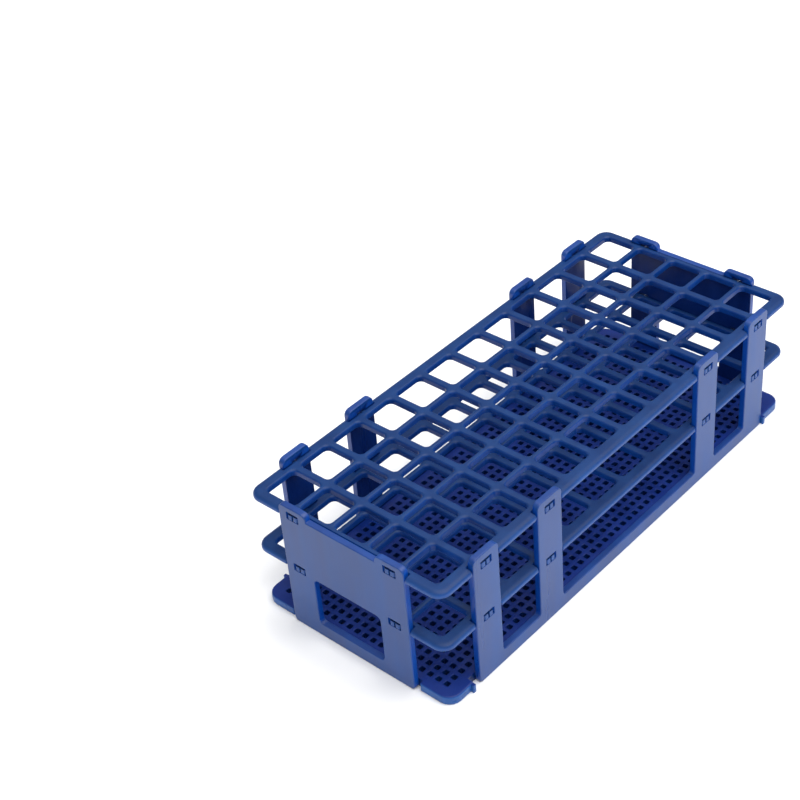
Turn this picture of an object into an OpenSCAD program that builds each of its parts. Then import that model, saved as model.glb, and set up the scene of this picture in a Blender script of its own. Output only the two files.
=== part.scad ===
// Snap-together rack for test tubes: two open grids and a perforated tray,
// held at their heights by two side frames and two end plates.
// X runs along the rack, Y across it and Z up. The origin is on the resting
// surface, under the centre of the rack.

/* [Wells] */
// Number of wells along the rack
columns = 12; // [12:1:20]
// Number of wells across the rack
rows = 5; // [5:1:10]
// Distance between the centres of neighbouring wells, along the rack
pitch_along = 20; // [20:0.5:40]
// Distance between the centres of neighbouring wells, across the rack
pitch_across = 19; // [19:0.5:40]
// Size of a well along the rack, for tubes up to 16 mm
well_l = 16.5; // [8:0.1:17]
// Size of a well across the rack
well_w = 16.7; // [8:0.1:17]
// Corner radius of a well
well_radius = 2.6; // [0.5:0.1:3.9]

/* [Grids and tray] */
// How far the grids reach past the last well cells at each end
end_margin = 3.5; // [3:0.1:12]
// How far the grids reach past the last well cells at each side
side_margin = 4.8; // [4:0.1:12]
// How far each end of the tray stays inside the ends of the grids
tray_inset = 1.2; // [0:0.1:2]
// Outer corner radius of the grids and the tray
plate_radius = 6; // [1:0.5:12]
// Thickness of a grid
grid_t = 3; // [3:0.1:6]
// Height of the top grid's upper face
top_level = 62.2; // [45:0.1:64]
// Height of the middle grid's upper face
middle_level = 34.1; // [15:0.1:38]
// Thickness of the tray
tray_t = 4.4; // [2.5:0.1:6]

/* [Tray perforation] */
// Width of a square perforation
perforation = 2.4; // [1:0.1:3.5]
// Distance between the centres of neighbouring perforations
perforation_pitch = 4.45; // [4:0.01:4.5]
// Number of perforations along the tray
perforation_columns = 53; // [1:1:53]
// Number of perforations across the tray
perforation_rows = 21; // [1:1:21]

/* [Side frames] */
// Thickness of the side frames and the end plates
panel_t = 3; // [2.5:0.1:3.2]
// Height of the uprights
upright_top = 66.3; // [65.5:0.1:90]
// Width of an upright
upright_w = 15.4; // [11:0.1:20]
// Distance from the middle of the rack to the inner uprights
inner_upright = 56.6; // [30:0.1:70]
// Distance from the middle of the rack to the outer uprights
outer_upright = 96.7; // [93:0.1:100]
// Height of the rail that joins the uprights
rail_h = 6.6; // [3:0.1:14]
// Radius of the panels' upper corners
panel_radius = 2.6; // [0.5:0.1:4]
// Radius of the panels' lower corners
foot_radius = 2; // [0.5:0.1:4]
// Radius of the inside corners between an upright and the rail
rail_radius = 1.5; // [0.5:0.1:5]

/* [End plates] */
// Width of an end plate
end_w = 67.4; // [50:0.1:75]
// Height of the tabs at the top of an end plate
tab_top = 65.5; // [65.5:0.1:90]
// Width of each tab
tab_w = 15.2; // [12:0.1:20]
// Width of the window
window_w = 36.4; // [10:0.1:37]
// Height of the window's lower edge
window_sill = 7; // [3:0.1:20]
// Height of the window's upper edge
window_top = 31.6; // [25:0.1:50]
// Corner radius of the window
window_radius = 2.2; // [0.5:0.1:2.4]

/* [Snap joints] */
// Width of a snap tongue, without its barbs
tongue_w = 5; // [3:0.1:8]
// Thickness of a snap tongue
tongue_t = 2.5; // [1.5:0.1:2.6]
// Width of the gap that splits a tongue into two springing prongs
tongue_split = 0.8; // [0.5:0.1:1.5]
// How far a barb stands out from its prong
barb = 0.6; // [0.2:0.1:0.9]
// Length of a barb
barb_l = 1; // [0.5:0.1:1.4]
// Height of a snap slot
slot_h = 3.8; // [3.4:0.1:4.2]
// Width of a tray tenon
tenon_w = 9; // [4:0.5:10]
// Thickness of a tray tenon
tenon_t = 1.8; // [1:0.1:2]
// Length of a tray tenon
tenon_l = 1.5; // [0.8:0.1:1.8]
// Free gap between parts that fit together
fit = 0.1; // [0.05:0.05:0.15]

/* [Tray recesses] */
// Gap between the front and back recesses and the left ends of the side frames
left_gap = 4.2; // [0.2:0.1:5]
// Gap between the front and back recesses and the right ends of the side frames
right_gap = 0.2; // [0.2:0.1:5]
// Gap between the end recesses and the end plates
end_gap = 1.8; // [0.2:0.1:4]
// Width of the lug at each end of the front and back recesses
lug_w = 1.6; // [1:0.1:3]
// How far the lugs stand out from the tray
lug_l = 1.4; // [0.5:0.1:2]

/* [Hidden] */
$fn = 48;
overlap = 0.5;
proud = 0.1;
notch_radius = 1;
tongue_recess = 0.1;
lug_radius = 0.4;
frame_colour = [0.16, 0.27, 0.66];
end_colour = [0.20, 0.32, 0.70];
grid_colour = [0.13, 0.22, 0.55];
tray_colour = [0.10, 0.18, 0.50];

plate_l = columns * pitch_along + 2 * end_margin;
plate_w = rows * pitch_across + 2 * side_margin;
tray_l = plate_l - 2 * tray_inset;
frame_inner_y = plate_w / 2 + proud - panel_t;
end_inner_x = plate_l / 2 + proud - panel_t;
frame_end = outer_upright + upright_w / 2;
throat_l = panel_t + fit - tongue_recess - barb_l - 2 * fit;
slot_floor = -grid_t - fit;
uprights = [-outer_upright, -inner_upright, inner_upright, outer_upright];
end_slots = [-(end_w - tab_w) / 2, (end_w - tab_w) / 2];
levels = [middle_level, top_level];

// ---- shared outlines ----

module rounded_rect(size, r) {
    square([size[0] - 2 * r, size[1]], center = true);
    square([size[0], size[1] - 2 * r], center = true);
    for (sx = [-1, 1], sy = [-1, 1])
        translate([sx * (size[0] / 2 - r), sy * (size[1] / 2 - r)]) circle(r);
}

// What fills an inside corner at the origin, or rounds an outside one when it is cut away.
module corner(r) {
    difference() {
        translate([-overlap, -overlap]) square(r + overlap);
        translate([r, r]) circle(r);
    }
}

// A notch from x0 to x1 that opens towards +Y, with its mouth at y = 0.
module notch(x0, x1, depth) {
    translate([x0, -depth]) square([x1 - x0, depth + overlap]);
    translate([x0, 0]) rotate(180) corner(notch_radius);
    translate([x1, 0]) rotate(-90) corner(notch_radius);
}

// A rectangle standing on y = 0, with rounded upper corners.
module tab(w, h) {
    translate([-w / 2, 0]) square([w, h - panel_radius]);
    translate([-w / 2 + panel_radius, 0]) square([w - 2 * panel_radius, h]);
    for (s = [-1, 1])
        translate([s * (w / 2 - panel_radius), h - panel_radius]) circle(panel_radius);
}

// What is cut from a panel to round its lower corners.
module foot_cuts(w) {
    for (m = [0, 1]) mirror([m, 0]) translate([-w / 2, 0]) corner(foot_radius);
}

// Puts its children at each upright's place, on both long sides.
module at_uprights() {
    for (x = uprights, turn = [0, 180])
        rotate(turn) translate([x, frame_inner_y]) children();
}

// Puts its children at each end slot's place, at both ends.
module at_end_slots() {
    for (y = end_slots, turn = [-90, 90])
        rotate(turn) translate([y, end_inner_x]) children();
}

// ---- snap joint between a grid and a panel ----

// Seen from above, with the panel's inner face along y = 0.
module tongue_outline() {
    tip = panel_t - tongue_recess;
    for (s = [-1, 1])
        scale([s, 1])
            polygon([
                [tongue_split / 2, -fit - overlap],
                [tongue_split / 2, tip],
                [tongue_w / 2 - barb / 2, tip],
                [tongue_w / 2 + barb, tip - barb_l],
                [tongue_w / 2, tip - barb_l],
                [tongue_w / 2, -fit - overlap],
            ]);
}

module tongue() linear_extrude(tongue_t) tongue_outline();

// The stepped slot that the barbs snap behind, cut through a panel from y = 0. Its
// origin is at the height of the grid's upper face.
module slot_cut() {
    narrow = tongue_w + 4 * fit;
    wide = tongue_w + 2 * barb + 4 * fit;
    translate([-narrow / 2, -overlap, slot_floor]) cube([narrow, panel_t, slot_h]);
    translate([-wide / 2, throat_l, slot_floor]) cube([wide, panel_t, slot_h]);
}

// ---- grids ----

module grid_outline() {
    side = upright_w / 2 + 4 * fit;
    end = end_w / 2 + 4 * fit;
    difference() {
        rounded_rect([plate_l, plate_w], plate_radius);
        for (x = uprights, turn = [0, 180])
            rotate(turn) translate([0, plate_w / 2])
                notch(x - side, x + side, plate_w / 2 - frame_inner_y + fit);
        for (turn = [-90, 90])
            rotate(turn) translate([0, plate_l / 2])
                notch(-end, end, plate_l / 2 - end_inner_x + fit);
    }
}

module wells() {
    for (i = [0 : columns - 1], j = [0 : rows - 1])
        translate([(i - (columns - 1) / 2) * pitch_along, (j - (rows - 1) / 2) * pitch_across])
            rounded_rect([well_l, well_w], well_radius);
}

module grid(level) {
    color(grid_colour)
        translate([0, 0, level - grid_t]) {
            linear_extrude(grid_t)
                difference() {
                    grid_outline();
                    wells();
                }
            at_uprights() tongue();
            at_end_slots() tongue();
        }
}

module top_grid() grid(top_level);
module middle_grid() grid(middle_level);

// ---- tray ----

// The recess that the side frame stands in, on the +Y side.
module side_recess() {
    translate([-frame_end - left_gap, frame_inner_y - fit])
        square([2 * frame_end + left_gap + right_gap, panel_t]);
}

module side_lugs() {
    for (x = [-frame_end - left_gap - lug_w / 2, frame_end + right_gap + lug_w / 2])
        translate([x, plate_w / 2]) rounded_rect([lug_w, 2 * lug_l], lug_radius);
}

module tray_outline() {
    end = end_w / 2 + end_gap;
    difference() {
        rounded_rect([tray_l, plate_w], plate_radius);
        for (m = [0, 1]) mirror([0, m]) side_recess();
        for (turn = [-90, 90])
            rotate(turn) translate([0, tray_l / 2])
                notch(-end, end, tray_l / 2 - end_inner_x + fit);
    }
    for (m = [0, 1]) mirror([0, m]) side_lugs();
}

module perforations() {
    for (i = [0 : perforation_columns - 1], j = [0 : perforation_rows - 1])
        translate([(i - (perforation_columns - 1) / 2) * perforation_pitch,
                   (j - (perforation_rows - 1) / 2) * perforation_pitch])
            square(perforation, center = true);
}

module tenon() {
    translate([-tenon_w / 2, -fit - overlap, (tray_t - tenon_t) / 2])
        cube([tenon_w, tenon_l + fit + overlap, tenon_t]);
}

// The blind pocket that takes a tenon, cut into a panel from y = 0.
module tenon_pocket() {
    translate([-tenon_w / 2 - 2 * fit, -overlap, (tray_t - tenon_t) / 2 - fit])
        cube([tenon_w + 4 * fit, tenon_l + fit + overlap, tenon_t + 2 * fit]);
}

module bottom_tray() {
    color(tray_colour) {
        linear_extrude(tray_t)
            difference() {
                tray_outline();
                perforations();
            }
        at_uprights() tenon();
        at_end_slots() tenon();
    }
}

// ---- side frames ----

module side_outline() {
    difference() {
        union() {
            translate([-frame_end, 0]) square([2 * frame_end, rail_h]);
            for (x = uprights) translate([x, 0]) tab(upright_w, upright_top);
            for (m = [0, 1]) mirror([m, 0]) {
                translate([inner_upright + upright_w / 2, rail_h]) corner(rail_radius);
                for (x = [inner_upright, outer_upright])
                    translate([x - upright_w / 2, rail_h]) rotate(90) corner(rail_radius);
            }
        }
        foot_cuts(2 * frame_end);
    }
}

// The frame on the +Y side.
module side_frame() {
    color(frame_colour)
        difference() {
            translate([0, frame_inner_y + panel_t, 0])
                rotate([90, 0, 0]) linear_extrude(panel_t) side_outline();
            for (x = uprights) translate([x, frame_inner_y, 0]) {
                for (level = levels) translate([0, 0, level]) slot_cut();
                tenon_pocket();
            }
        }
}

module back_frame() side_frame();
module front_frame() mirror([0, 1, 0]) side_frame();

// ---- end plates ----

module end_outline() {
    difference() {
        union() {
            translate([-end_w / 2, 0]) square([end_w, top_level]);
            for (y = end_slots) translate([y, 0]) tab(tab_w, tab_top);
        }
        foot_cuts(end_w);
        translate([0, (window_sill + window_top) / 2])
            rounded_rect([window_w, window_top - window_sill], window_radius);
    }
}

// The plate at the +X end.
module end_plate() {
    color(end_colour)
        translate([end_inner_x, 0, 0]) rotate([0, 0, -90])
            difference() {
                translate([0, panel_t, 0])
                    rotate([90, 0, 0]) linear_extrude(panel_t) end_outline();
                for (y = end_slots) translate([y, 0, 0]) {
                    for (level = levels) translate([0, 0, level]) slot_cut();
                    tenon_pocket();
                }
            }
}

module right_end_plate() end_plate();
module left_end_plate() mirror([1, 0, 0]) end_plate();

top_grid();
middle_grid();
bottom_tray();
front_frame();
back_frame();
left_end_plate();
right_end_plate();
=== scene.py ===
"""A blue snap-together test tube rack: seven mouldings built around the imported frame."""

import math

import bpy
from mathutils import Matrix, Vector
from mathutils.geometry import delaunay_2d_cdt


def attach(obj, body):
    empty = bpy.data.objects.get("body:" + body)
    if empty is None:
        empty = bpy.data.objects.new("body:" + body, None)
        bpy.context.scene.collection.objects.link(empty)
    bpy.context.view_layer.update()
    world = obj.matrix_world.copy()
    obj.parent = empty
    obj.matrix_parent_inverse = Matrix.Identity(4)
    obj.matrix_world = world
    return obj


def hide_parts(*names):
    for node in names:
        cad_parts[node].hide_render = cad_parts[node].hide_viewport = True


MM = 0.001

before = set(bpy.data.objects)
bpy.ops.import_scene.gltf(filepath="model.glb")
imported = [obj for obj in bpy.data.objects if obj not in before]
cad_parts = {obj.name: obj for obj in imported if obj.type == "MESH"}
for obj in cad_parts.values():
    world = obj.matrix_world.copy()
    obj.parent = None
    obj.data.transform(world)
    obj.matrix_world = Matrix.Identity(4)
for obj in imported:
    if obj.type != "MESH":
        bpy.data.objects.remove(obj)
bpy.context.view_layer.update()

# ---------------------------------------------------------------------------
# Sizes, in millimetres, in the frame's own axes
# ---------------------------------------------------------------------------
COLUMNS, ROWS = 12, 5
PITCH_ALONG, PITCH_ACROSS = 20.0, 19.0
WELL_L, WELL_W, WELL_R = 16.5, 16.7, 2.6
MOUTH_FLARE, MOUTH_DEPTH, MOUTH_R = 0.7, 1.0, 1.6
PLATE_L, PLATE_W, PLATE_R = 247.0, 104.6, 6.0
TRAY_L = 244.6
GRID_T, TRAY_T = 3.0, 4.4
TOP_LEVEL, MIDDLE_LEVEL = 62.2, 34.1
PERF, PERF_R, PERF_PITCH, PERF_COLUMNS, PERF_ROWS = 2.4, 0.35, 4.45, 53, 21
PANEL_T, PANEL_R, FOOT_R = 3.0, 2.6, 2.0
UPRIGHT_TOP, UPRIGHT_W, INNER_UPRIGHT, OUTER_UPRIGHT = 66.3, 15.4, 56.6, 96.7
RAIL_H, RAIL_R = 6.6, 1.5
END_W, TAB_TOP, TAB_W = 67.4, 65.5, 15.2
WINDOW_W, WINDOW_SILL, WINDOW_TOP, WINDOW_R = 36.4, 7.0, 31.6, 2.2
FRAME_INNER_Y, END_INNER_X = 49.4, 120.6
TONGUE_W, TONGUE_T, TONGUE_SPLIT, TONGUE_RECESS, TONGUE_ROOT = 5.0, 2.5, 0.8, 0.1, 0.6
BARB, BARB_L, SLOT_H, SLOT_R = 0.6, 1.0, 3.8, 0.3
LEFT_GAP, RIGHT_GAP, END_GAP = 4.2, 0.2, 1.8
LUG_W, LUG_L, LUG_R, LUG_DROP = 1.6, 1.4, 0.4, 0.3
NOTCH_R, NOTCH_SHARE, SHARP_R = 0.6, 0.2, 0.3
FIT, NOTCH_PLAY, SLOT_PLAY = 0.1, 0.4, 0.4
FRAME_END = OUTER_UPRIGHT + UPRIGHT_W / 2
UPRIGHTS = (-OUTER_UPRIGHT, -INNER_UPRIGHT, INNER_UPRIGHT, OUTER_UPRIGHT)
END_SLOTS = (-(END_W - TAB_W) / 2, (END_W - TAB_W) / 2)

# Roundings of the edges: at the upper or outer face, and at the other one. GRID_EDGE ends with
# the height of its upper rounding, which is elliptical.
GRID_EDGE = (2.5, 0.5, 1.9)
MOUTH_BOTTOM_R = 0.3
TRAY_EDGE, PERF_EDGE, LUG_EDGE = (0.9, 0.6), (0.3, 0.15), (0.3, 0.2)
FRAME_EDGE, END_EDGE, WINDOW_EDGE = (0.45, 0.45), (0.5, 0.45), (0.45, 0.45)
TONGUE_EDGE, SLOT_MOUTH, SLOT_STEP = (0.15, 0.1), 0.15, 0.02
BARB_TIP_R, BARB_HEEL_R = 0.15, 0.1


# ---------------------------------------------------------------------------
# Outlines: closed, counter-clockwise lists of corners (x, y, radius, share), where share
# says how much of the inset the edge after the corner takes, and is 1 if left out
# ---------------------------------------------------------------------------
SMALLEST_R = 0.01  # in place of a radius of nothing


def loop(corners, inset=0.0, steps=4):
    """Points along the outline with its corners rounded, moved inwards by inset."""
    points, n = [], len(corners)
    for k in range(n):
        before, here, after = (Vector(corners[(k + d) % n][:2]) for d in (-1, 0, 1))
        a, b = (here - before).normalized(), (after - here).normalized()
        na, nb = Vector((-a.y, a.x)), Vector((-b.y, b.x))
        wa, wb = (inset * (c[3] if len(c) > 3 else 1) for c in (corners[k - 1], corners[k]))
        cross = a.x * b.y - a.y * b.x
        turn = math.atan2(cross, a.dot(b))
        tip = here + (b * wa - a * wb) / cross
        side = 1 if turn > 0 else -1
        r = max(corners[k][2] - side * (wa + wb) / 2, SMALLEST_R)
        start = tip - a * (r * math.tan(abs(turn) / 2))
        centre = start + na * (side * r)
        spoke = start - centre
        for s in range(steps + 1):
            c, d = math.cos(turn * s / steps), math.sin(turn * s / steps)
            swept = Vector((spoke.x * c - spoke.y * d, spoke.x * d + spoke.y * c))
            points.append(centre + swept)
    return points


def rectangle(w, h, r, x=0.0, y=0.0):
    quarters = ((-1, -1), (1, -1), (1, 1), (-1, 1))
    return [(x + sx * w / 2, y + sy * h / 2, r) for sx, sy in quarters]


def spread_out(count, pitch):
    """The places of count equally spaced things, centred on 0."""
    return [(k - (count - 1) / 2) * pitch for k in range(count)]


def notched(half_x, half_y, r, along_x, depth_y, along_y, depth_x):
    """A rounded rectangle with notches. along_x holds the notches in each long side, as
    (from, to, mouth radius), cut depth_y deep, and along_y those in each short side."""

    def side(length, depth, notches):
        out = []
        for low, high, mouth in sorted(notches):
            out += [(low, 0, mouth, NOTCH_SHARE), (low, depth, 0, NOTCH_SHARE)]
            out += [(high, depth, 0, NOTCH_SHARE), (high, 0, mouth, 1)]
        return out + [(length, 0, r, 1)]

    def turned(notches):
        return [(-high, -low, mouth) for low, high, mouth in notches]

    near = side(half_x, depth_y, along_x)
    right = side(half_y, depth_x, along_y)
    far = side(half_x, depth_y, turned(along_x))
    left = side(half_y, depth_x, turned(along_y))
    return (
        [(x, -half_y + d, q, w) for x, d, q, w in near]
        + [(half_x - d, y, q, w) for y, d, q, w in right]
        + [(-x, half_y - d, q, w) for x, d, q, w in far]
        + [(-half_x + d, -y, q, w) for y, d, q, w in left]
    )


def round_over(top, bottom, top_r, bottom_r, top_h=None, steps=4):
    """The section of an edge from the upper face down, as (inset, height) pairs.

    top_r and bottom_r are the roundings at the two faces. top_h makes the upper one an
    ellipse of that height."""
    drop = top_h or top_r
    section = []
    for s in range(steps + 1):
        t = math.pi / 2 * s / steps
        section.append((top_r * (1 - math.sin(t)), top - drop * (1 - math.cos(t))))
    low = max(2, steps // 2)
    for s in range(low + 1):
        t = math.pi / 2 * s / low
        section.append((bottom_r * (1 - math.cos(t)), bottom + bottom_r * (1 - math.sin(t))))
    return section


# ---------------------------------------------------------------------------
# Mouldings: flat pieces with holes, rounded along every edge
# ---------------------------------------------------------------------------
TOLERANCE = 1e-7  # of the triangulation


class Moulding:
    """Collects closed shells and makes one mesh object of them."""

    def __init__(self):
        self.verts, self.faces = [], []

    def plate(self, outer, holes, place):
        """outer and each of holes are lists of sections, upper face first; a section is
        (points, height), and every section of one outline has the same number of points."""
        rings = []
        for sections, outwards in [(outer, True)] + [(h, False) for h in holes]:
            rings.append([self.ring(points, z, place) for points, z in sections])
            for upper, lower in zip(rings[-1], rings[-1][1:]):
                self.wall(upper, lower, outwards)
        for end, up in ((0, True), (-1, False)):
            self.cap(
                [outer[end][0]] + [h[end][0] for h in holes], [r[end] for r in rings], up
            )

    def ring(self, points, z, place):
        first = len(self.verts)
        self.verts += [place @ Vector((p[0], p[1], z)) for p in points]
        return range(first, len(self.verts))

    def wall(self, upper, lower, outwards):
        n = len(upper)
        for k in range(n):
            m = (k + 1) % n
            quad = (upper[k], lower[k], lower[m], upper[m])
            self.faces.append(quad if outwards else quad[::-1])

    def cap(self, outlines, rings, up):
        points = [p for o in outlines for p in o]
        index = [i for r in rings for i in r]
        edges, loops, first = [], [], 0
        for o in outlines:
            n = len(o)
            edges += [(first + k, first + (k + 1) % n) for k in range(n)]
            loops.append(list(range(first, first + n)))
            first += n
        spots, _, triangles, source, _, owners = delaunay_2d_cdt(
            points, edges, loops, 0, TOLERANCE
        )
        for tri, owner in zip(triangles, owners):
            if owner != [0]:  # outside the outline, or inside a hole
                continue
            ids = [index[source[v][0]] for v in tri]
            a, b, c = (spots[v] for v in tri)
            ccw = (b - a).cross(c - a) > 0
            self.faces.append(tuple(ids if ccw == up else ids[::-1]))

    def make(self, name, material, node):
        mesh = bpy.data.meshes.new(name)
        mesh.from_pydata([tuple(Vector(v) * MM) for v in self.verts], [], self.faces)
        mesh.validate()
        mesh.update()
        mesh.polygons.foreach_set("use_smooth", [True] * len(mesh.polygons))
        obj = bpy.data.objects.new(name, mesh)
        bpy.context.scene.collection.objects.link(obj)
        obj.data.materials.append(material)
        weighted = obj.modifiers.new("face_normals", "WEIGHTED_NORMAL")
        weighted.weight = 100  # the large flat faces decide; 50 would be neutral
        weighted.keep_sharp = True
        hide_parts(node)
        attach(obj, "root")
        return obj


def extruded(corners, section, steps=4):
    """Sections of a solid outline: an edge section drawn along it."""
    return [(loop(corners, inset, steps), z) for inset, z in section]


def cut(corners, section, steps=4):
    """Sections of a hole: an edge section drawn along it, where an inset opens the hole."""
    return [(loop(corners, -inset, steps), z) for inset, z in section]


# ---------------------------------------------------------------------------
# The seven pieces
# ---------------------------------------------------------------------------
FLAT = Matrix.Identity(4)


def at_side(x, turn):
    """The placement of a joint on a long side: +Y points out through the upright."""
    return Matrix.Rotation(turn, 4, "Z") @ Matrix.Translation((x, FRAME_INNER_Y, 0))


def at_end(y, turn):
    """The placement of a joint on a short side: +Y points out through the end plate."""
    return Matrix.Rotation(turn, 4, "Z") @ Matrix.Translation((y, END_INNER_X, 0))


SIDE_JOINTS = [at_side(x, turn) for x in UPRIGHTS for turn in (0, math.pi)]
END_JOINTS = [at_end(y, turn) for y in END_SLOTS for turn in (-math.pi / 2, math.pi / 2)]


def tongue(piece, place, level):
    """Two barbed prongs that spring together as they pass the slot."""
    tip = PANEL_T - TONGUE_RECESS
    half, gap = TONGUE_W / 2, TONGUE_SPLIT / 2
    prong = [
        (gap, -TONGUE_ROOT, 0),
        (half, -TONGUE_ROOT, 0),
        (half, tip - BARB_L, 0),
        (half + BARB, tip - BARB_L, BARB_HEEL_R),
        (half - BARB / 2, tip, BARB_TIP_R),
        (gap, tip, BARB_TIP_R),
    ]
    bottom = level - GRID_T
    section = round_over(bottom + TONGUE_T, bottom, *TONGUE_EDGE, steps=2)
    mirrored = [(-x, y, r) for x, y, r in reversed(prong)]
    for corners in (prong, mirrored):
        piece.plate(extruded(corners, section, steps=2), [], place)


def well(x, y, top, bottom):
    """Sections of a well. Its mouth flares to a squarer outline, which crowns the bars."""
    sections = []
    for spread, height in round_over(top, bottom, MOUTH_FLARE, MOUTH_BOTTOM_R, MOUTH_DEPTH):
        flared = spread / MOUTH_FLARE if height > bottom + MOUTH_BOTTOM_R else 0
        radius = WELL_R + (MOUTH_R - WELL_R) * flared
        outline = rectangle(WELL_L + 2 * spread, WELL_W + 2 * spread, radius, x, y)
        sections.append((loop(outline, steps=6), height))
    return sections


def grid(name, level, node, material):
    piece = Moulding()
    half_l, half_w = PLATE_L / 2, PLATE_W / 2
    side, end = UPRIGHT_W / 2 + NOTCH_PLAY, END_W / 2 + NOTCH_PLAY
    outline = notched(
        half_l,
        half_w,
        PLATE_R,
        [(x - side, x + side, NOTCH_R) for x in UPRIGHTS],
        half_w - FRAME_INNER_Y + FIT,
        [(-end, end, NOTCH_R)],
        half_l - END_INNER_X + FIT,
    )
    top, bottom = level, level - GRID_T
    outer = extruded(outline, round_over(top, bottom, *GRID_EDGE, steps=8), steps=6)
    wells = [
        well(x, y, top, bottom)
        for x in spread_out(COLUMNS, PITCH_ALONG)
        for y in spread_out(ROWS, PITCH_ACROSS)
    ]
    piece.plate(outer, wells, FLAT)
    for place in SIDE_JOINTS + END_JOINTS:
        tongue(piece, place, level)
    return piece.make(name, material, node)


def tray(name, node, material):
    piece = Moulding()
    half_l, half_w = TRAY_L / 2, PLATE_W / 2
    left, right, end = -FRAME_END - LEFT_GAP, FRAME_END + RIGHT_GAP, END_W / 2 + END_GAP
    outline = notched(
        half_l,
        half_w,
        PLATE_R,
        [(left, right, SHARP_R)],
        half_w - FRAME_INNER_Y + FIT,
        [(-end, end, NOTCH_R)],
        half_l - END_INNER_X + FIT,
    )
    outer = extruded(outline, round_over(TRAY_T, 0, *TRAY_EDGE), steps=5)
    section = round_over(TRAY_T, 0, *PERF_EDGE, steps=2)
    holes = [
        cut(rectangle(PERF, PERF, PERF_R, x, y), section, steps=1)
        for x in spread_out(PERF_COLUMNS, PERF_PITCH)
        for y in spread_out(PERF_ROWS, PERF_PITCH)
    ]
    piece.plate(outer, holes, FLAT)
    lug_section = round_over(TRAY_T - LUG_DROP, 0, *LUG_EDGE, steps=3)
    for x in (left - LUG_W / 2, right + LUG_W / 2):
        for y in (-half_w, half_w):
            lug = rectangle(LUG_W, 2 * LUG_L, LUG_R, x, y)
            piece.plate(extruded(lug, lug_section), [], FLAT)
    return piece.make(name, material, node)


def slot_sections(x, level):
    """A stepped slot: the barbs' pocket at the outer face, the throat at the inner one."""
    y = level - GRID_T - FIT + SLOT_H / 2
    wide = rectangle(TONGUE_W + 2 * BARB + SLOT_PLAY, SLOT_H, SLOT_R, x, y)
    narrow = rectangle(TONGUE_W + SLOT_PLAY, SLOT_H, SLOT_R, x, y)
    throat = PANEL_T - FIT - TONGUE_RECESS - BARB_L
    return [
        (loop(wide, -SLOT_MOUTH, 2), PANEL_T),
        (loop(wide, -SLOT_MOUTH / 3, 2), PANEL_T - SLOT_MOUTH / 3),
        (loop(wide, 0, 2), PANEL_T - SLOT_MOUTH),
        (loop(wide, 0, 2), throat),
        (loop(narrow, 0, 2), throat - SLOT_STEP),
        (loop(narrow, 0, 2), 0.0),
    ]


def side_frame(name, node, material, front):
    piece = Moulding()
    half, r = UPRIGHT_W / 2, RAIL_R
    corners = [(-FRAME_END, 0, FOOT_R), (FRAME_END, 0, FOOT_R)]
    for x in reversed(UPRIGHTS):
        right_foot, left_foot = x < OUTER_UPRIGHT, x > -OUTER_UPRIGHT
        corners += [(x + half, RAIL_H, r)] if right_foot else []
        corners += [(x + half, UPRIGHT_TOP, PANEL_R), (x - half, UPRIGHT_TOP, PANEL_R)]
        corners += [(x - half, RAIL_H, r)] if left_foot else []
    outer = extruded(corners, round_over(PANEL_T, 0, *FRAME_EDGE))
    slots = [slot_sections(x, level) for x in UPRIGHTS for level in (MIDDLE_LEVEL, TOP_LEVEL)]
    # The outline's X and Y become the rack's X and Z, and its upper face the outer one
    place = (
        Matrix.Rotation(0.0 if front else math.pi, 4, "Z")
        @ Matrix.Translation((0, -FRAME_INNER_Y, 0))
        @ Matrix.Rotation(math.pi / 2, 4, "X")
    )
    piece.plate(outer, slots, place)
    return piece.make(name, material, node)


def end_plate(name, node, material, right):
    piece = Moulding()
    half, inner = END_W / 2, END_W / 2 - TAB_W
    corners = [
        (-half, 0, FOOT_R),
        (half, 0, FOOT_R),
        (half, TAB_TOP, PANEL_R),
        (inner, TAB_TOP, PANEL_R),
        (inner, TOP_LEVEL, SHARP_R),
        (-inner, TOP_LEVEL, SHARP_R),
        (-inner, TAB_TOP, PANEL_R),
        (-half, TAB_TOP, PANEL_R),
    ]
    outer = extruded(corners, round_over(PANEL_T, 0, *END_EDGE))
    middle = (WINDOW_TOP + WINDOW_SILL) / 2
    window = rectangle(WINDOW_W, WINDOW_TOP - WINDOW_SILL, WINDOW_R, 0, middle)
    holes = [cut(window, round_over(PANEL_T, 0, *WINDOW_EDGE, steps=3))]
    holes += [slot_sections(y, level) for y in END_SLOTS for level in (MIDDLE_LEVEL, TOP_LEVEL)]
    place = (
        Matrix.Rotation(math.pi / 2 if right else -math.pi / 2, 4, "Z")
        @ Matrix.Translation((0, -END_INNER_X, 0))
        @ Matrix.Rotation(math.pi / 2, 4, "X")
    )
    piece.plate(outer, holes, place)
    return piece.make(name, material, node)


# ---------------------------------------------------------------------------
# Material: satin moulded polypropylene. Noise scales are per metre, bump depths in
# millimetres, and ramps hold (position, colour) stops.
# ---------------------------------------------------------------------------
# The normal's Z below also switches between the walls' and the tops' colours, which hold
# painted light and shade
LOOKS_UP_FROM, LOOKS_UP_TO = 0.2, 0.9  # the normal's Z, from a wall's look to a top's
CLOUD_SCALE, CLOUD_STOPS = 38, [(0.3, (0.86,) * 3), (0.72, (1,) * 3)]
FLOW_SCALE, FLOW_STOPS = 110, [(0.33, (0.85, 0.84, 0.88)), (0.67, (1.15, 1.12, 1.08))]
GRAIN_SCALE = 1400
FLOW_BUMP, FLOW_DEPTH = 0.35, 0.2
GRAIN_BUMP, GRAIN_DEPTH = 0.25, 0.05
WALL_POLISH, TOP_POLISH, FLOW_ROUGHNESS = 0.29, 0.14, 0.28  # taken off, and added by flow
POLYPROPYLENE_IOR = 1.49
SCATTER, SCATTER_RADII, SCATTER_DEPTH = 0.15, (0.3, 0.6, 1.0), 1.0


def add_node(tree, kind, **inputs):
    """A new node with constants on its sockets; an underscore stands for a space."""
    made = tree.nodes.new(kind)
    for key, value in inputs.items():
        made.inputs[key.replace("_", " ")].default_value = value
    return made


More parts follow.
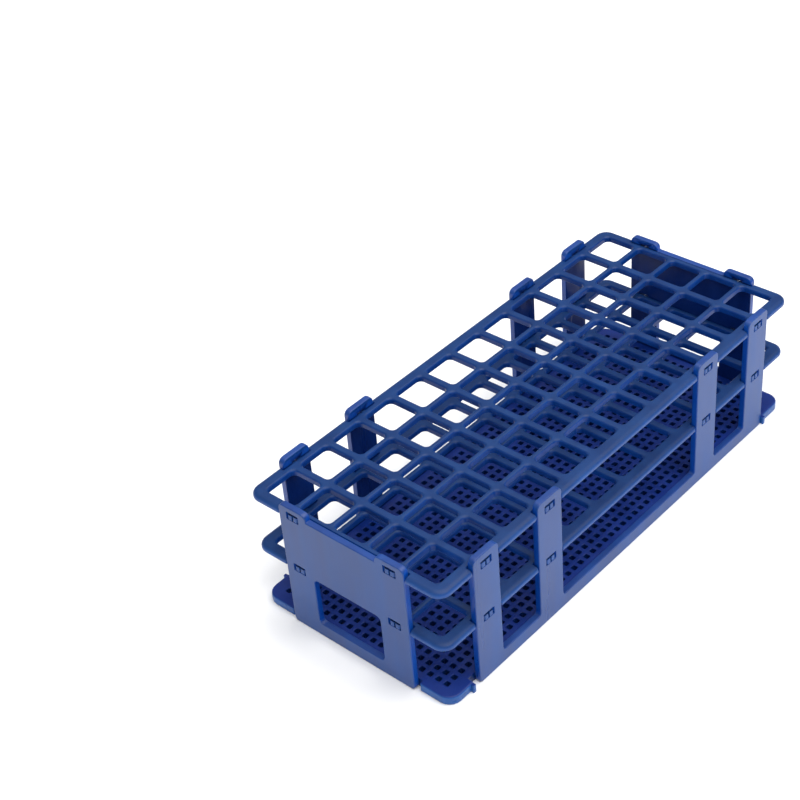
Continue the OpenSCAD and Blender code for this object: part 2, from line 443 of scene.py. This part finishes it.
def vector_math(tree, operation, first, second=None, output="Vector"):
    made = tree.nodes.new("ShaderNodeVectorMath")
    made.operation = operation
    tree.links.new(first, made.inputs[0])
    if second is not None:
        made.inputs[1].default_value = second
    return made.outputs[output]


def ramp(tree, factor, stops):
    made = tree.nodes.new("ShaderNodeValToRGB")
    elements = made.color_ramp.elements
    for k, (position, colour) in enumerate(stops):
        if k < 2:
            elements[k].position = position
        else:
            elements.new(position)
        elements[k].color = (*colour, 1)
    tree.links.new(factor, made.inputs["Fac"])
    return made.outputs["Color"]


def multiply(tree, first, second):
    made = tree.nodes.new("ShaderNodeMixRGB")
    made.blend_type = "MULTIPLY"
    made.inputs["Fac"].default_value = 1
    tree.links.new(first, made.inputs["Color1"])
    tree.links.new(second, made.inputs["Color2"])
    return made.outputs["Color"]


def reach(tree, where, corner, distance):
    """How far a point lies outside the box that has its centre at the origin and this
    corner: 0 inside the box, rising to 1 at the distance from it."""
    beyond = vector_math(tree, "SUBTRACT", vector_math(tree, "ABSOLUTE", where), corner)
    outside = vector_math(tree, "MAXIMUM", beyond, (0, 0, 0))
    length = vector_math(tree, "LENGTH", outside, output="Value")
    scaled = add_node(tree, "ShaderNodeMapRange", From_Min=0, From_Max=distance)
    tree.links.new(length, scaled.inputs["Value"])
    return scaled.outputs["Result"]


# Boxes for reach, which spreads the walls' painted light and shade: 1 along a plate's rounded
# outline, and 1 on a panel's outer face
PLATE_REACH = (PLATE_L / 2 - PLATE_R, PLATE_W / 2 - PLATE_R, TOP_LEVEL), PLATE_R
PANEL_REACH = (END_INNER_X, FRAME_INNER_Y, TOP_LEVEL), PANEL_T


def plastic(name, top_pigment_and_shade, wall_light_and_shade_stops, box, roughness, specular, streaks=(1, 1, 1)):
    """The faces that look up take the first colour, and the walls take the stops of a colour
    ramp along the reach from box. Both are painted light and shade: the tops against the walls,
    lighter outer rims, edges and faces (painted light), and darker inner walls (painted shade).
    streaks squeezes the flow marks along X, Y and Z."""
    mat = bpy.data.materials.new(name)
    mat.use_nodes = True
    tree = mat.node_tree
    shader = tree.nodes["Principled BSDF"]
    link = tree.links.new
    where = tree.nodes.new("ShaderNodeTexCoord").outputs["Object"]
    in_mm = vector_math(tree, "MULTIPLY", where, (1 / MM, 1 / MM, 1 / MM))

    normal = tree.nodes.new("ShaderNodeNewGeometry").outputs["Normal"]
    height = tree.nodes.new("ShaderNodeSeparateXYZ")
    link(normal, height.inputs["Vector"])
    looks_up = add_node(
        tree, "ShaderNodeMapRange", From_Min=LOOKS_UP_FROM, From_Max=LOOKS_UP_TO
    )
    link(height.outputs["Z"], looks_up.inputs["Value"])
    # Painted light and shade: the tops and the walls take different colours, and along the
    # walls the ramp paints outer rims and edges lighter and inner walls darker
    faces = add_node(tree, "ShaderNodeMixRGB", Color2=(*top_pigment_and_shade, 1))
    link(looks_up.outputs["Result"], faces.inputs["Fac"])
    link(ramp(tree, reach(tree, in_mm, *box), wall_light_and_shade_stops), faces.inputs["Color1"])

    # Faint cloudiness of the pigment
    clouds = add_node(tree, "ShaderNodeTexNoise", Scale=CLOUD_SCALE, Detail=3)
    link(where, clouds.inputs["Vector"])
    haze = ramp(tree, clouds.outputs["Fac"], CLOUD_STOPS)
    pigment = multiply(tree, faces.outputs["Color"], haze)

    # Flow marks, drawn out along the way the plastic ran in the mould
    squeeze = add_node(tree, "ShaderNodeMapping", Scale=streaks)
    link(where, squeeze.inputs["Vector"])
    flow = add_node(tree, "ShaderNodeTexNoise", Scale=FLOW_SCALE, Detail=2)
    link(squeeze.outputs["Vector"], flow.inputs["Vector"])
    marks = ramp(tree, flow.outputs["Fac"], FLOW_STOPS)
    link(multiply(tree, pigment, marks), shader.inputs["Base Color"])

    # The walls and the rounded rims are a little more polished than the upper faces, and
    # the flow marks make all of them uneven
    polish = add_node(
        tree,
        "ShaderNodeMapRange",
        To_Min=roughness - WALL_POLISH,
        To_Max=roughness - TOP_POLISH,
    )
    link(looks_up.outputs["Result"], polish.inputs["Value"])
    rough = tree.nodes.new("ShaderNodeMath")
    rough.operation = "MULTIPLY_ADD"
    rough.inputs[1].default_value = FLOW_ROUGHNESS
    link(flow.outputs["Fac"], rough.inputs[0])
    link(polish.outputs["Result"], rough.inputs[2])
    link(rough.outputs["Value"], shader.inputs["Roughness"])

    # Waves from the flow, under a fine spark-eroded grain
    waves = add_node(tree, "ShaderNodeBump", Strength=FLOW_BUMP, Distance=FLOW_DEPTH * MM)
    link(flow.outputs["Fac"], waves.inputs["Height"])
    grain = add_node(tree, "ShaderNodeTexNoise", Scale=GRAIN_SCALE, Detail=3)
    link(where, grain.inputs["Vector"])
    bump = add_node(tree, "ShaderNodeBump", Strength=GRAIN_BUMP, Distance=GRAIN_DEPTH * MM)
    link(grain.outputs["Fac"], bump.inputs["Height"])
    link(waves.outputs["Normal"], bump.inputs["Normal"])
    link(bump.outputs["Normal"], shader.inputs["Normal"])

    shader.inputs["IOR"].default_value = POLYPROPYLENE_IOR
    shader.inputs["Specular IOR Level"].default_value = specular
    shader.inputs["Subsurface Weight"].default_value = SCATTER
    shader.inputs["Subsurface Radius"].default_value = SCATTER_RADII
    shader.inputs["Subsurface Scale"].default_value = SCATTER_DEPTH * MM
    return mat


# Grid: the walls are lighter than the tops and the outer rim lighter still, painted light
grid_plastic = plastic(
    "grid_polypropylene",
    top_pigment_and_shade=(0.003, 0.031, 0.134),
    wall_light_and_shade_stops=[(0.57, (0.003, 0.046, 0.255)), (0.8, (0.016, 0.080, 0.310))],
    box=PLATE_REACH,
    roughness=0.50,
    specular=0.26,
)
# Tray: the perforation walls are darker, painted shade, and the outer rim and lugs lighter,
# painted light
tray_plastic = plastic(
    "tray_polypropylene",
    top_pigment_and_shade=(0.001, 0.021, 0.180),
    wall_light_and_shade_stops=[(0.5, (0.001, 0.022, 0.140)), (0.75, (0.016, 0.105, 0.380))],
    box=PLATE_REACH,
    roughness=0.45,
    specular=0.28,
)
# Frames: the inner faces are darker (the first stop), painted shade, and the panels' edges and
# outer faces are lighter than the tops, painted light
frame_plastic = plastic(
    "frame_polypropylene",
    top_pigment_and_shade=(0.001, 0.039, 0.215),
    wall_light_and_shade_stops=[
        (0.04, (0.001, 0.022, 0.155)),
        (0.14, (0.002, 0.068, 0.400)),
        (0.86, (0.002, 0.068, 0.400)),
        (0.97, (0.003, 0.058, 0.270)),
    ],
    box=PANEL_REACH,
    roughness=0.48,
    specular=0.5,
    streaks=(1, 1, 0.12),
)

grid("top_grid_moulding", TOP_LEVEL, "top_grid", grid_plastic)
grid("middle_grid_moulding", MIDDLE_LEVEL, "middle_grid", grid_plastic)
tray("bottom_tray_moulding", "bottom_tray", tray_plastic)
side_frame("front_frame_moulding", "front_frame", frame_plastic, front=True)
side_frame("back_frame_moulding", "back_frame", frame_plastic, front=False)
end_plate("left_end_moulding", "left_end_plate", frame_plastic, right=False)
end_plate("right_end_moulding", "right_end_plate", frame_plastic, right=True)

# ---------------------------------------------------------------------------
# Studio, in metres and watts: a white floor, one large softbox and an even white world
# ---------------------------------------------------------------------------
FLOOR_HALF, FLOOR_WHITE, FLOOR_ROUGHNESS = 6, 0.9, 0.9
WORLD_STRENGTH = 0.36
SOFTBOX_AT, SOFTBOX_SIZE, SOFTBOX_POWER = (0.1, -0.3, 1.35), 1.7, 38.5

floor_mesh = bpy.data.meshes.new("floor")
floor_mesh.from_pydata(
    [(x, y, 0) for x, y, _ in rectangle(2 * FLOOR_HALF, 2 * FLOOR_HALF, 0)], [], [(0, 1, 2, 3)]
)
floor = bpy.data.objects.new("floor", floor_mesh)
bpy.context.scene.collection.objects.link(floor)
floor_paper = bpy.data.materials.new("studio_floor")
floor_paper.use_nodes = True
paper = floor_paper.node_tree.nodes["Principled BSDF"]
paper.inputs["Base Color"].default_value = (FLOOR_WHITE, FLOOR_WHITE, FLOOR_WHITE, 1)
paper.inputs["Roughness"].default_value = FLOOR_ROUGHNESS
floor_mesh.materials.append(floor_paper)

world = bpy.data.worlds.new("studio")
bpy.context.scene.world = world
world.use_nodes = True
background = world.node_tree.nodes["Background"]
background.inputs["Color"].default_value = (1, 1, 1, 1)
background.inputs["Strength"].default_value = WORLD_STRENGTH
bpy.context.scene.view_settings.view_transform = "Standard"

softbox_data = bpy.data.lights.new("softbox", "AREA")
softbox_data.shape = "SQUARE"
softbox_data.size = SOFTBOX_SIZE
softbox_data.energy = SOFTBOX_POWER
softbox = bpy.data.objects.new("softbox", softbox_data)
bpy.context.scene.collection.objects.link(softbox)
softbox.location = SOFTBOX_AT
softbox.rotation_euler = (-Vector(SOFTBOX_AT)).to_track_quat("-Z", "Y").to_euler()

# ---------------------------------------------------------------------------
# Camera, solved from corners of the rack: metres, degrees and millimetres
# ---------------------------------------------------------------------------
CAMERA_AT, CAMERA_TURN = (-0.45593, -0.37020, 0.50523), (52.7314, 4.3312, -48.5566)
SENSOR_WIDTH, LENS = 36, 76.153

camera_data = bpy.data.cameras.new("camera")
camera = bpy.data.objects.new("camera", camera_data)
bpy.context.scene.collection.objects.link(camera)
bpy.context.scene.camera = camera
camera_data.sensor_width = SENSOR_WIDTH
camera_data.lens = LENS
camera.location = CAMERA_AT
camera.rotation_euler = [math.radians(angle) for angle in CAMERA_TURN]
